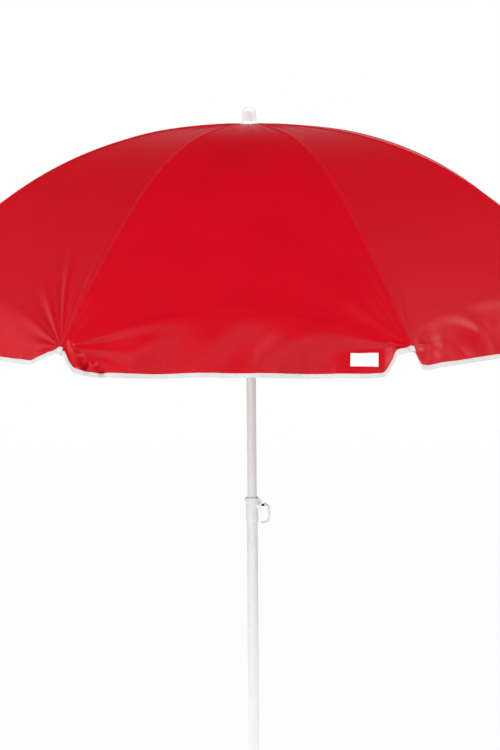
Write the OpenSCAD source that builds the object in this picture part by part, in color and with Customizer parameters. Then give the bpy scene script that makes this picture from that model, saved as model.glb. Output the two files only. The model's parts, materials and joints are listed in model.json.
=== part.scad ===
// Beach umbrella: two-part telescopic pole, eight-rib folding frame, stretched cloth canopy.
// Millimetres, +Z up. The origin is the tip of the ground spike, on the pole's axis.
// The photographed front is -Y, and the lock screw points to +X.

/* [Pole] */
// Length of the pointed part of the ground spike
spike_len = 60; // [40:1:90]
// Radius of the spike's blunt tip
spike_tip_r = 2.5; // [1.5:0.5:5]
// Length of the spike's shank inside the lower tube
spike_shank = 32; // [20:1:60]
// Outer diameter of the lower tube
lower_d = 25; // [24.5:0.1:28]
// Wall of the lower tube
lower_wall = 1.2; // [0.8:0.1:1.4]
// Length of the lower tube
lower_len = 1033; // [800:1:1200]
// Outer diameter of the upper tube
upper_d = 22; // [20:0.1:22.2]
// Wall of the upper tube
upper_wall = 1; // [0.7:0.1:1.5]
// Length of the upper tube
upper_len = 1077; // [1000:1:1250]
// Length of the upper tube inside the lower one, as photographed
tube_overlap = 225; // [150:1:300]
// Length of the end plug's shank inside the upper tube
plug_shank = 30; // [15:1:50]
// Length of the end plug's head below the upper tube
plug_head = 7; // [4:1:15]

/* [Collar and lock screw] */
// Outer diameter of the collar
collar_d = 28.4; // [28:0.1:32]
// Height of the collar
collar_h = 58; // [45:1:75]
// Thickness of the collar's roof above the lower tube
collar_roof = 3; // [2:0.5:6]
// How much the lower tube is drawn in on its radius under the collar
collar_neck = 0.3; // [0.2:0.1:0.4]
// How far the rim at the collar's top stands out
collar_rim = 0.9; // [0.4:0.1:2]
// Height of the rim at the collar's top
collar_rim_h = 9; // [8:0.5:14]
// Depth of the screw axis below the collar's top
boss_drop = 18.5; // [14:0.5:26]
// Diameter of the screw boss
boss_d = 20; // [17:0.5:22]
// Distance from the pole's axis to the boss's face
boss_reach = 22; // [20:0.5:26]
// Width of the web above the boss
web_w = 10; // [6:0.5:14]
// Diameter of the lock stud
stud_d = 6; // [5:0.5:7]
// Thread pitch of the lock stud
stud_pitch = 1; // [0.8:0.05:1.25]
// Width of the captive nut across its corners
nut_corners = 11.5; // [10:0.1:12.5]
// Thickness of the captive nut
nut_h = 4.6; // [3:0.1:5]
// Length of the lock stud that shows between the boss and the ring handle
stud_show = 6.5; // [3:0.5:10]
// Diameter of the ring handle's hub
hub_d = 10; // [9.5:0.5:18]
// Length of the ring handle's hub
hub_len = 5.5; // [5:0.5:12]
// Radius of the loop's upper bend, to the middle of its bar
loop_r = 8; // [6:0.2:14]
// Radius of the loop's lower bend, to the middle of its bar
loop_low_r = 14; // [8:0.2:17]
// Straight length of the loop between its bends
loop_straight = 20.4; // [10:0.2:30]
// Diameter of the loop's bar
loop_bar_d = 5.5; // [4:0.1:6.5]
// Diameter of the bead that ends the loop's bar
loop_bead_d = 6.4; // [5.8:0.1:8]
// Angle over which the loop's lower bend runs
loop_hook = 104; // [60:1:150]
// Diameter of the rivets in the collar and in the crown
rivet_d = 3.2; // [2.5:0.1:4]
// Diameter of those rivets' heads
rivet_head_d = 6.4; // [5:0.1:7.5]
// Height of those rivets' heads
rivet_head_h = 2.2; // [1:0.1:3]

/* [Crown and finial] */
// Radius of the wire ring that the ribs hinge on
wire_ring_r = 14; // [13:0.5:16]
// Diameter of the wire
wire_d = 2; // [1.6:0.1:2.4]
// Diameter of the crown's slotted head
crown_d = 38; // [36:0.5:44]
// Depth of the crown's head below the wire
crown_below = 6; // [5:0.5:9]
// Wall of the crown's sleeve on the tube
crown_wall = 2; // [1.2:0.1:2.4]
// Length of the crown's sleeve
crown_sleeve = 30; // [20:1:40]
// Distance from the tube's top to the wire
wire_above_tube = 8; // [7.5:0.5:12]
// Diameter of the finial's post
finial_d = 32; // [28:0.5:36]
// Diameter of the finial's flared base
finial_base_d = 44; // [42:0.5:50]
// Height of the finial's flare
finial_flare = 8; // [5:0.5:12]
// Height of the finial above the cloth
finial_h = 40; // [30:1:50]
// Diameter of the stem that holds the finial in the crown
finial_stem_d = 8; // [6:0.5:10]
// Length of that stem
finial_stem = 8; // [5:0.5:9]

/* [Ribs and stretchers] */
// Number of ribs
ribs = 8; // [8]
// Azimuth of the first rib
rib_azimuth = -114.6; // [-120:0.1:-105]
// Diameter of the rib rod
rib_d = 3.5; // [3:0.1:4]
// Height of the rod above its hinge
rib_rise = 2.5; // [2.3:0.1:3.5]
// Length of the inner bend of the rod
bend_a_len = 182; // [150:1:220]
// Slope where the inner bend ends
bend_a_angle = 8; // [5:0.5:11]
// Length of the middle bend of the rod
bend_b_len = 400; // [360:1:440]
// Slope where the middle bend ends
bend_b_angle = 35; // [31:0.5:38]
// Length of the outer bend of the rod, to the edge of the cloth
bend_c_len = 400; // [360:1:440]
// Slope at the edge of the cloth
bend_c_angle = 43; // [40:0.5:47]
// Thickness of the flattened ends of ribs and stretchers
blade_t = 2.2; // [1.8:0.1:2.4]
// Length of the flattened ends
blade_len = 16; // [12:1:22]
// Distance along the rod to the stretcher joint
joint_at = 362; // [330:1:400]
// Depth of the joint's rivet below the rod
joint_drop = 7; // [6.5:0.1:9]
// Length of the saddle that is crimped on the rod
saddle_len = 14; // [12:0.5:20]
// Thickness of the saddle's sheet
saddle_t = 1; // [0.8:0.1:1.3]
// Diameter of the joint's rivet
joint_pin_d = 3; // [2.5:0.1:3.4]
// Diameter of the stretcher rod
stretcher_d = 4; // [3.4:0.1:4.5]
// Length of a stretcher between its pivots
stretcher_len = 440; // [425:1:455]
// Diameter of the cap on the rib's end
cap_d = 8; // [6:0.5:10]
// Length of that cap
cap_len = 15; // [12:0.5:20]
// Radius of the ribs' ends from the pole when the umbrella is folded
folded_tip_r = 60; // [40:1:80]

/* [Runner and catch] */
// Radius of the circle of stretcher pins in the runner
pin_ring_r = 21; // [20.5:0.5:24]
// Diameter of those pins
end_pin_d = 3; // [2.4:0.1:3.4]
// Length of those pins
end_pin_len = 9; // [7:0.5:10]
// Outer diameter of the runner's sleeve
runner_d = 29; // [28:0.5:32]
// Length of the runner's sleeve below the pins
runner_len = 46; // [35:1:55]
// How far the runner's roof reaches past the pins
roof_reach = 5; // [3:0.5:7]
// Thickness of the runner's roof
roof_t = 4; // [3:0.5:6]
// Width of the spring catch
catch_w = 3.4; // [2.6:0.1:4]
// How far the catch stands out of the tube
catch_out = 5; // [4:0.5:6]
// Height of the catch's nose
catch_h = 18; // [12:1:24]

/* [Cloth] */
// Thickness of the cloth
cloth_t = 0.8; // [0.6:0.1:1]
// Thickness of the sewn seam between the cloth and a rod
seam_t = 1; // [1:0.1:1.6]
// Radius at which the cloth starts under the finial
cloth_in_r = 17; // [16.5:0.5:19]
// Height from the fold of the hanging edge down to the hem, at mid panel
fold_len = 103; // [80:1:120]
// The same height at the rib
fold_len_rib = 25; // [20:1:35]
// How far the hem hangs below the ribs' ends
hem_drop = 56; // [40:1:70]
// Width over which the hem drops at each side of a rib
notch_w = 50; // [40:1:70]
// Slope at which the cloth's edge hangs at mid panel
hang_angle = 72; // [60:1:80]
// Height of the hem tape
hem_h = 9.5; // [7:0.5:12]
// Thickness of the hem tape
hem_t = 1.6; // [1.2:0.1:2]

/* [Clearances] */
// Running clearance of a pin in its hole, on the radius
pin_gap = 0.05; // [0.02:0.01:0.1]
// Clearance of pieces that slide or pass, on the radius
slide_gap = 0.3; // [0.2:0.05:0.4]
// Clearance of a fixed piece in its seat
seat_gap = 0.08; // [0.04:0.01:0.12]

/* [Hidden] */
$fn = 64;
numbers = [for (k = [1 : ribs]) k];

white_paint = [0.93, 0.93, 0.92];
white_plastic = [0.95, 0.95, 0.94];
bare_steel = [0.66, 0.67, 0.69];
red_cloth = [0.80, 0.03, 0.07];
white_tape = [0.96, 0.95, 0.94];

// A bent bar is drawn down by this much on its radius at each bend, and the next stretch laps into it
draw_down = 0.05;
bend_lap = 0.6;
// Radii of the tubes
lower_r = lower_d / 2;
lower_bore = lower_r - lower_wall;
upper_r = upper_d / 2;
upper_bore = upper_r - upper_wall;
// Heights along the pole
lower_top = spike_len + lower_len;
upper_bottom = lower_top - tube_overlap;
upper_top = upper_bottom + upper_len;
collar_top = lower_top + collar_roof;
screw_z = collar_top - boss_drop;
hinge_z = upper_top + wire_above_tube;
// The cloth lies on the rods with its seams, and the crown's top is level with the rods' tops
rib_r = rib_d / 2;
cloth_under = rib_r + slide_gap + seam_t;
crown_top = hinge_z + rib_rise + rib_r;
cloth_top = hinge_z + rib_rise + cloth_under + cloth_t;
slot_w = blade_t + 2 * slide_gap;
eye_r = 2.8;
wire_gap = 4 * pin_gap;
neck_len = 8;
cap_nose = 5;
edge_lap = 3;
crown_rivet_z = upper_top - crown_sleeve / 2;
// The rib's path in its own upright plane: three bends that follow on smoothly
rod_start = [wire_ring_r + neck_len, hinge_z + rib_rise];
edge_s = bend_a_len + bend_b_len + bend_c_len;
cap_s = edge_s + edge_lap;
rod_end_s = cap_s + cap_len - cap_nose;
panel = 360 / ribs;
half_panel = panel / 2;

function bend_radius(from, to, len) = len / ((to - from) * PI / 180);
function along_bend(start, from, to, len, s) =
    let (r = bend_radius(from, to, len), a = from + (to - from) * s / len)
    [start.x + r * (sin(a) - sin(from)), start.y + r * (cos(a) - cos(from))];
bend_b_start = along_bend(rod_start, 0, bend_a_angle, bend_a_len, bend_a_len);
bend_c_start = along_bend(bend_b_start, bend_a_angle, bend_b_angle, bend_b_len, bend_b_len);
// Point on the rod's middle line at arc length s, and the slope there
function rib_point(s) =
    s < 0 ? [rod_start.x + s, rod_start.y]
    : s < bend_a_len ? along_bend(rod_start, 0, bend_a_angle, bend_a_len, s)
    : s < bend_a_len + bend_b_len
        ? along_bend(bend_b_start, bend_a_angle, bend_b_angle, bend_b_len, s - bend_a_len)
    : along_bend(bend_c_start, bend_b_angle, bend_c_angle, bend_c_len, s - bend_a_len - bend_b_len);
function rib_slope(s) =
    s < 0 ? 0
    : s < bend_a_len ? bend_a_angle * s / bend_a_len
    : s < bend_a_len + bend_b_len
        ? bend_a_angle + (bend_b_angle - bend_a_angle) * (s - bend_a_len) / bend_b_len
    : bend_b_angle + (bend_c_angle - bend_b_angle) * (s - bend_a_len - bend_b_len) / bend_c_len;

// Stretcher joint on the rib, and the stretcher's pin in the runner, in the rib's plane
joint_slope = rib_slope(joint_at);
joint_point = rib_point(joint_at) - joint_drop * [sin(joint_slope), cos(joint_slope)];
function pin_height(joint) =
    joint.y - sqrt(pow(stretcher_len, 2) - pow(joint.x - pin_ring_r, 2));
pin_z = pin_height(joint_point);
runner_bottom = pin_z - runner_len;
catch_top = runner_bottom - slide_gap;
catch_middle = catch_top - catch_h / 2;

// Folding: the rib turns about the wire until its end is near the pole, and the runner slides down
hinge_point = [wire_ring_r, hinge_z];
tip_arm = rib_point(rod_end_s) - hinge_point;
fold_deg = acos((folded_tip_r - wire_ring_r) / norm(tip_arm)) - atan2(-tip_arm.y, tip_arm.x);
function turned(p, deg) = [p.x * cos(deg) - p.y * sin(deg), p.x * sin(deg) + p.y * cos(deg)];
folded_joint = hinge_point + turned(joint_point - hinge_point, -fold_deg);
folded_pin_z = pin_height(folded_joint);
function stretcher_angle(joint, z) = atan2(z - joint.y, pin_ring_r - joint.x);
runner_travel = pin_z - folded_pin_z;
stretcher_fold = fold_deg
    + stretcher_angle(folded_joint, folded_pin_z) - stretcher_angle(joint_point, pin_z);
echo(hinge = hinge_point, joint = joint_point, pin_z = pin_z, fold_deg = fold_deg);
echo(runner_travel = runner_travel, stretcher_fold = stretcher_fold, screw_z = screw_z);
echo(catch_middle = catch_middle, cloth_top = cloth_top, collar_top = collar_top);

// A tube standing on z
module tube(r, bore, z, h) {
    difference() {
        translate([0, 0, z]) cylinder(r = r, h = h);
        translate([0, 0, z - 1]) cylinder(r = bore, h = h + 2);
    }
}

// A cylinder along X from x0 to x1 at height z
module x_rod(r, x0, x1, z) {
    translate([x0, 0, z]) rotate([0, 90, 0]) cylinder(r = r, h = x1 - x0);
}

// A domed rivet head on the plane z = 0
module rivet_head() {
    intersection() {
        cylinder(d = rivet_head_d, h = rivet_head_h);
        translate([0, 0, rivet_head_h - dome_r()]) sphere(r = dome_r());
    }
}
function dome_r() = (pow(rivet_head_d / 2, 2) + pow(rivet_head_h, 2)) / (2 * rivet_head_h);

// Lower pole and what is fixed to it
module lower_pole() {
    color(white_paint) difference() {
        rotate_extrude() polygon([
            [lower_bore, spike_len], [lower_r, spike_len], [lower_r, neck_z - collar_neck],
            [neck_r, neck_z], [neck_r, lower_top], [lower_bore, lower_top]]);
        x_rod(stud_d / 2 + slide_gap, 0, lower_d, screw_z);
        x_rod(rivet_d / 2 + seat_gap, -lower_d, 0, collar_rivet_z);
    }
}

module pole_spike() {
    shank_r = lower_bore - seat_gap;
    shoulder = 8;
    bevel = 4;
    lead = 2;
    blunt = spike_tip_r * 0.6;
    color(white_plastic) rotate_extrude() polygon([
        [0, 0], [blunt, 0], [spike_tip_r, blunt],
        [lower_r - bevel / 4, spike_len - shoulder - bevel], [lower_r, spike_len - shoulder],
        [lower_r, spike_len], [shank_r, spike_len], [shank_r, spike_len + spike_shank - lead],
        [shank_r - lead, spike_len + spike_shank], [0, spike_len + spike_shank]]);
}

rivet_below_top = 2.5;
collar_rivet_z = lower_top - rivet_below_top;
collar_r = collar_d / 2;
collar_bottom = collar_top - collar_h;
collar_chamfer = 1;
web_step = 1.5;
neck_r = lower_r - collar_neck;
neck_z = collar_bottom - 2 * collar_chamfer;
nut_x = neck_r + slide_gap;

module collar_sleeve() {
    seat = neck_r + seat_gap;
    guide = upper_r + slide_gap;
    rim_r = collar_r + collar_rim;
    rotate_extrude() polygon([
        [seat, collar_bottom], [collar_r - collar_chamfer, collar_bottom],
        [collar_r, collar_bottom + collar_chamfer],
        [collar_r, collar_top - collar_rim_h], [rim_r, collar_top - collar_rim_h + collar_rim],
        [rim_r, collar_top - collar_chamfer], [rim_r - collar_chamfer, collar_top],
        [guide, collar_top], [guide, lower_top], [seat, lower_top]]);
}

module pole_collar() {
    web_foot = collar_r / 2;
    color(white_plastic) difference() {
        union() {
            collar_sleeve();
            x_rod(boss_d / 2, web_foot, boss_reach, screw_z);
            translate([0, web_w / 2, 0]) rotate([90, 0, 0]) linear_extrude(web_w) polygon([
                [web_foot, collar_top - web_step], [collar_r, collar_top - web_step],
                [boss_reach, screw_z + boss_d / 2], [boss_reach, screw_z], [web_foot, screw_z]]);
        }
        translate([0, 0, collar_bottom]) cylinder(r = neck_r + seat_gap, h = lower_top - collar_bottom);
        translate([0, 0, lower_top - 1]) cylinder(r = upper_r + slide_gap, h = collar_roof + 2);
        x_rod(stud_d / 2 + slide_gap, 0, boss_reach + 1, screw_z);
        translate([neck_r, 0, screw_z]) rotate([0, 90, 0])
            cylinder(d = nut_corners + 2 * seat_gap, h = nut_x - neck_r + nut_h + seat_gap, $fn = 6);
        x_rod(rivet_d / 2 + seat_gap, -collar_d, 0, collar_rivet_z);
    }
}

module collar_rivet() {
    head_x = collar_r + collar_rim;
    grip = head_x - lower_bore;
    color(bare_steel) translate([-head_x, 0, collar_rivet_z]) rotate([0, -90, 0]) {
        rivet_head();
        translate([0, 0, -grip]) cylinder(d = rivet_d, h = grip + rivet_head_h / 4);
    }
}

module lock_nut() {
    color(bare_steel) translate([nut_x, 0, screw_z]) rotate([0, 90, 0]) difference() {
        cylinder(d = nut_corners, h = nut_h, $fn = 6);
        translate([0, 0, -1]) cylinder(r = stud_d / 2 + pin_gap, h = nut_h + 2);
    }
}

// Lock screw: the stud moves along its thread, and the ring handle turns
hub_x = boss_reach + stud_show;
stud_tip_x = upper_r + slide_gap;
hub_floor = 2.5;
hub_chamfer = 1;
stud_end_x = hub_x + hub_len - hub_floor;
loop_x = hub_x + hub_len - loop_bar_d / 2;
stud_lead = 2 * stud_pitch;

module lock_stud() {
    color(bare_steel) difference() {
        x_rod(stud_d / 2, stud_tip_x, stud_end_x, screw_z);
        translate([stud_tip_x - 1, 0, screw_z]) rotate([0, 90, 0]) difference() {
            cylinder(d = stud_d + 1, h = stud_lead + 1);
            cylinder(d1 = stud_d - 2 * stud_lead - 2, d2 = stud_d, h = stud_lead + 1);
        }
    }
}

module loop_bend(r, from, to) {
    rotate([90, 0, 0]) rotate([0, 0, from]) rotate_extrude(angle = to - from)
        translate([r, 0]) circle(d = loop_bar_d - 2 * draw_down);
}

module lock_ring() {
    bar_x = loop_x + loop_r;
    low_x = bar_x - loop_low_r;
    low_z = screw_z - loop_r - loop_straight;
    color(white_plastic) difference() {
        union() {
            x_rod(hub_d / 2, hub_x, hub_x + hub_len - hub_chamfer, screw_z);
            translate([loop_x, 0, screw_z - loop_r]) loop_bend(loop_r, 0, 90);
            translate([bar_x, 0, low_z - bend_lap]) cylinder(d = loop_bar_d, h = loop_straight + 2 * bend_lap);
            translate([low_x, 0, low_z]) loop_bend(loop_low_r, -loop_hook, 0);
            translate([low_x + loop_low_r * cos(loop_hook), 0, low_z - loop_low_r * sin(loop_hook)])
                sphere(d = loop_bead_d);
        }
        x_rod(stud_d / 2 + pin_gap, hub_x - 1, stud_end_x + slide_gap, screw_z);
    }
}

// Plug in the lower end of the upper tube: it slides in the lower tube, and the upper tube turns on it
module pole_plug() {
    shank_r = upper_bore - seat_gap;
    head_top = upper_bottom - slide_gap;
    shank_top = upper_bottom + plug_shank;
    lead = 1.5;
    color(white_plastic) rotate_extrude() polygon([
        [0, head_top - plug_head], [upper_r - lead, head_top - plug_head],
        [upper_r, head_top - plug_head + lead], [upper_r, head_top], [shank_r, head_top],
        [shank_r, shank_top - lead], [shank_r - lead, shank_top], [0, shank_top]]);
}

// Upper pole and the crown
module upper_pole() {
    color(white_paint) difference() {
        tube(upper_r, upper_bore, upper_bottom, upper_len);
        translate([-upper_r, 0, catch_middle])
            cube([upper_r, catch_w + 2 * slide_gap, catch_h + 2 * slide_gap], center = true);
        crown_rivet_hole();
    }
}

module crown_rivet_hole() {
    translate([0, 0, crown_rivet_z]) rotate([90, 0, 0])
        cylinder(d = rivet_d + 2 * seat_gap, h = 3 * upper_d, center = true);
}

module crown() {
    eye_room = slide_gap + 1;
    core_r = wire_ring_r - eye_r - eye_room;
    sleeve_r = upper_r + crown_wall;
    sleeve_bottom = upper_top - crown_sleeve;
    head_r = crown_d / 2;
    head_bottom = hinge_z - crown_below;
    chamfer = 2;
    top_chamfer = 3;
    color(white_plastic) difference() {
        union() {
            rotate_extrude() polygon([
                [0, head_bottom], [head_r - chamfer, head_bottom], [head_r, head_bottom + chamfer],
                [head_r, crown_top - top_chamfer], [head_r - top_chamfer, crown_top], [0, crown_top]]);
            translate([0, 0, sleeve_bottom])
                cylinder(r = sleeve_r, h = head_bottom + chamfer - sleeve_bottom);
        }
        translate([0, 0, sleeve_bottom - 1]) cylinder(r = upper_r + seat_gap, h = crown_sleeve + 1);
        for (k = numbers) rotate([0, 0, rib_azimuth + panel * (k - 1)])
            translate([core_r, -slot_w / 2, head_bottom - 1])
                cube([crown_d, slot_w, crown_top - head_bottom + 2]);
        translate([0, 0, hinge_z]) rotate_extrude() translate([wire_ring_r, 0])
            circle(d = wire_d + 2 * seat_gap);
        translate([0, 0, crown_top - finial_stem - seat_gap])
            cylinder(d = finial_stem_d + 2 * seat_gap, h = finial_stem + 1);
        crown_rivet_hole();
    }
}

module crown_wire() {
    color(bare_steel) translate([0, 0, hinge_z]) rotate_extrude()
        translate([wire_ring_r, 0]) circle(d = wire_d);
}

module crown_rivet() {
    head_y = upper_r + crown_wall;
    color(bare_steel) translate([0, 0, crown_rivet_z]) rotate([90, 0, 0]) {
        cylinder(d = rivet_d, h = 2 * head_y + rivet_head_h / 2, center = true);
        for (side = [0, 180]) rotate([side, 0, 0]) translate([0, 0, head_y]) rivet_head();
    }
}

// The finial clamps the cloth: its middle stands on the crown and its flare lies over the cloth
module finial() {
    seat_r = cloth_in_r * cos(half_panel) - slide_gap;
    stem_z = crown_top - finial_stem;
    base_r = finial_base_d / 2;
    base_z = cloth_top + slide_gap;
    lip_z = base_z + 1.2;
    flare_h = base_z + finial_flare - lip_z;
    post_r = finial_d / 2;
    dome_h = post_r * 0.8;
    dome_z = cloth_top + finial_h - dome_h;
    flare = [for (a = [15 : 15 : 90])
        [post_r + (base_r - post_r) * (1 - sin(a)), lip_z + flare_h * (1 - cos(a))]];
    dome = [for (a = [0 : 10 : 90]) [post_r * cos(a), dome_z + dome_h * sin(a)]];
    color(white_plastic) rotate_extrude() polygon(concat(
        [[0, stem_z], [finial_stem_d / 2, stem_z], [finial_stem_d / 2, crown_top]],
        [[seat_r, crown_top], [seat_r, base_z], [base_r, base_z], [base_r, lip_z]],
        flare, dome));
}

// Runner and its catch
module runner() {
    roof_z = pin_z + end_pin_d / 2 + slide_gap;
    roof_r = pin_ring_r + roof_reach;
    roof_top = roof_z + roof_t;
    seat_r = pin_ring_r - end_pin_d / 2 - slide_gap;
    bore = upper_r + slide_gap;
    sleeve_r = runner_d / 2;
    foot = 1.5;
    skirt = 8;
    skirt_foot = 3;
    chamfer = 2;
    cut_z = pin_z - 2.5 * skirt;
    color(white_plastic) difference() {
        rotate_extrude() polygon([
            [bore, runner_bottom], [sleeve_r - foot, runner_bottom], [sleeve_r, runner_bottom + foot],
            [sleeve_r, pin_z - 2 * skirt], [seat_r + skirt_foot, pin_z - skirt], [roof_r, pin_z - skirt],
            [roof_r, roof_top - chamfer], [roof_r - chamfer, roof_top], [bore, roof_top]]);
        for (k = numbers) rotate([0, 0, rib_azimuth + panel * (k - 1)]) {
            translate([seat_r, -end_pin_len / 2 - slide_gap, cut_z])
                cube([roof_r, end_pin_len + 2 * slide_gap, roof_z - cut_z]);
            translate([seat_r - chamfer, -slot_w / 2, cut_z])
                cube([roof_r, slot_w, roof_top - cut_z + 1]);
        }
    }
}

// Spring catch: a nose with a flat top that the runner stands on and a long ramp below
module catch() {
    leaf_x = slide_gap - upper_bore;
    nose_x = -upper_r - catch_out;
    leaf_t = 1.4;
    leaf_len = 12;
    web = 2;
    corner = 1;
    color(bare_steel) translate([0, catch_w / 2, catch_top]) rotate([90, 0, 0])
        linear_extrude(catch_w) polygon([
            [leaf_x + web, 0], [nose_x + corner, 0], [nose_x, -corner], [nose_x, -4 * corner],
            [leaf_x, -catch_h], [leaf_x, -catch_h - leaf_len],
            [leaf_x + leaf_t, -catch_h - leaf_len], [leaf_x + web, web - catch_h]]);
}

// Ribs, each drawn in the plane y = 0 and turned to its place
module at_rib(k) {
    rotate([0, 0, rib_azimuth + panel * (k - 1)]) children();
}

module on_rod(s) {
    p = rib_point(s);
    translate([p.x, 0, p.y]) rotate([0, rib_slope(s), 0]) children();
}

// One bend of the rod: it starts a little early, inside the bend before it
module rod_bend(start, from, to, len, run, rod_r) {
    r = bend_radius(from, to, len);
    turn = (to - from) * (run + bend_lap) / len;
    lap_deg = (to - from) * bend_lap / len;
    middle = [start.x - r * sin(from), 0, start.y - r * cos(from)];
    translate(middle) rotate([90, 0, 0]) rotate([0, 0, 90 - from - turn + lap_deg])
        rotate_extrude(angle = turn, $fn = 256) translate([r, 0]) circle(r = rod_r, $fn = 32);
}

// A plate of thickness blade_t standing in the plane y = 0; blades lie this much inside the round rods
blade_inset = 0.2;
module plate() {
    translate([0, blade_t / 2, 0]) rotate([90, 0, 0]) linear_extrude(blade_t) children();
}

module rib(k) {
    outer_run = rod_end_s - bend_a_len - bend_b_len;
    blade_run = blade_len - neck_len;
    color(white_paint) at_rib(k) difference() {
        union() {
            rod_bend(rod_start, 0, bend_a_angle, bend_a_len, bend_a_len, rib_r);
            rod_bend(bend_b_start, bend_a_angle, bend_b_angle, bend_b_len, bend_b_len, rib_r - draw_down);
            rod_bend(bend_c_start, bend_b_angle, bend_c_angle, bend_c_len, outer_run, rib_r - 2 * draw_down);
            plate() {
                translate(hinge_point) circle(r = eye_r);
                polygon([
                    hinge_point + [-eye_r / 3, eye_r - blade_inset],
                    hinge_point + [eye_r / 3, rib_rise + rib_r - blade_inset],
                    rod_start + [blade_run, rib_r - blade_inset],
                    rod_start + [blade_run, blade_inset - rib_r],
                    hinge_point + [eye_r / 1.4, -eye_r / 1.4]]);
            }
        }
        translate([hinge_point.x, 0, hinge_point.y]) rotate([90, 0, 0])
            cylinder(r = wire_d / 2 + wire_gap, h = 3 * blade_t, center = true);
    }
}

// Crimped saddle with its rivet at the stretcher joint, and the cap on the rod's end
module rib_fittings(k) {
    sleeve_r = rib_r + saddle_t;
    ear_y = slot_w / 2;
    ear_r = joint_pin_d / 2 + 2;
    head_h = 0.8;
    nose_len = 3;
    color(bare_steel) at_rib(k) on_rod(joint_at) difference() {
        union() {
            rotate([0, 90, 0]) cylinder(r = sleeve_r, h = saddle_len, center = true);
            for (side = [-1, 1]) translate([0, side * (ear_y + saddle_t / 2), 0]) {
                translate([0, 0, -joint_drop]) rotate([90, 0, 0])
                    cylinder(r = ear_r, h = saddle_t, center = true);
                translate([0, 0, -joint_drop / 2]) cube([2 * ear_r, saddle_t, joint_drop], center = true);
            }
            translate([0, 0, -joint_drop]) rotate([90, 0, 0]) {
                cylinder(d = joint_pin_d, h = slot_w + 2 * saddle_t + head_h, center = true);
                for (side = [-1, 1]) translate([0, 0, side * (ear_y + saddle_t + head_h / 2)])
                    cylinder(d = joint_pin_d + 2, h = head_h, center = true);
            }
        }
        rotate([0, 90, 0]) cylinder(r = rib_r + seat_gap, h = saddle_len + 2, center = true);
        translate([0, 0, rib_r + saddle_t]) cube([saddle_len + 2, 3 * sleeve_r, 2 * saddle_t], center = true);
    }
    cap_r = cap_d / 2;
    dome = [for (a = [0 : 15 : 90]) [cap_r * cos(a), cap_len - cap_r * (1 - sin(a))]];
    color(white_plastic) at_rib(k) on_rod(cap_s) rotate([0, 90, 0]) difference() {
        rotate_extrude() polygon(concat([[0, 0], [cap_r - nose_len / 4, 0], [cap_r, nose_len]], dome));
        translate([0, 0, -1]) cylinder(r = rib_r + seat_gap, h = rod_end_s - cap_s + slide_gap + 1);
    }
}

// Straight rod with flattened ends: an eye on the rib's rivet and a cross pin in the runner
module stretcher(k) {
    angle = stretcher_angle(joint_point, pin_z);
    rod_from = blade_len - 6;
    neck_r = stretcher_d / 2 - blade_inset;
    joint_eye_r = joint_pin_d / 2 + 1.6;
    pin_eye_r = end_pin_d / 2 + 0.6;
    end_x = stretcher_len - blade_len;
    place = [joint_point.x, 0, joint_point.y];
    color(white_paint) at_rib(k) translate(place) rotate([0, -angle, 0]) difference() {
        union() {
            translate([rod_from, 0, 0]) rotate([0, 90, 0])
                cylinder(d = stretcher_d, h = stretcher_len - 2 * rod_from, $fn = 32);
            plate() {
                circle(r = joint_eye_r);
                translate([stretcher_len, 0]) circle(r = pin_eye_r);
                polygon([[0, joint_eye_r], [blade_len, neck_r], [blade_len, -neck_r], [0, -joint_eye_r]]);
                polygon([[stretcher_len, pin_eye_r], [end_x, neck_r],
                    [end_x, -neck_r], [stretcher_len, -pin_eye_r]]);
            }
            translate([stretcher_len, 0, 0]) rotate([90, 0, 0])
                cylinder(d = end_pin_d, h = end_pin_len, center = true);
        }
        rotate([90, 0, 0]) cylinder(r = joint_pin_d / 2 + pin_gap, h = 3 * blade_t, center = true);
    }
}

// Cloth: each node is the cloth that one rib carries, from mid panel to mid panel.
// Between two ribs the cloth is stretched straight. Below an arched fold its edge hangs free.
edge_chord = 2 * rib_point(edge_s).x * sin(half_panel);
tip_z = rib_point(edge_s).y;
notch_steps = 4;
wide_steps = 3;
notch_cols = [for (i = [0 : notch_steps]) notch_w * i / notch_steps];
wide_cols = [for (i = [1 : wide_steps]) notch_w + (edge_chord / 2 - notch_w) * i / wide_steps];
side_cols = concat(notch_cols, wide_cols);
last_col = len(side_cols) - 1;
columns = [for (i = [-last_col : last_col]) i];
main_rows = [0, 0.1, 0.195, 0.28, 0.365, 0.45, 0.53, 0.61, 0.74, 0.87, 1];
hang_rows = [0.15, 0.4, 0.7, 1];
crease_rate = 5;
edge_gap = 0.15;
tape_gap = 0.2;

function ease(u) = let (v = max(0, min(1, u))) v * v * (3 - 2 * v);
function cot(a) = 1 / tan(a);
function col_dist(c) = side_cols[abs(c)];
function col_share(c) = col_dist(c) / edge_chord;
function fold_at(c) = fold_len_rib + (fold_len - fold_len_rib) * 4 * col_share(c) * (1 - col_share(c));
function fold_s(c) = edge_s - fold_at(c);
function hem_ease(c) = ease(col_dist(c) / notch_w);
function bottom_z(c) = tip_z - hem_drop * hem_ease(c);
function hang_height(c) = rib_point(fold_s(c)).y - bottom_z(c);
function hem_v(c) = 1 - hem_h / hang_height(c);
// Point of the stretched cloth at column c and rib length s, standing off the rods by off
function stretched(c, s, off) =
    let (p = rib_point(s) + off * [sin(rib_slope(s)), cos(rib_slope(s))], t = col_share(c))
    [p.x * (1 - t * (1 - cos(panel))), sign(c) * p.x * t * sin(panel), p.y];
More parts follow.
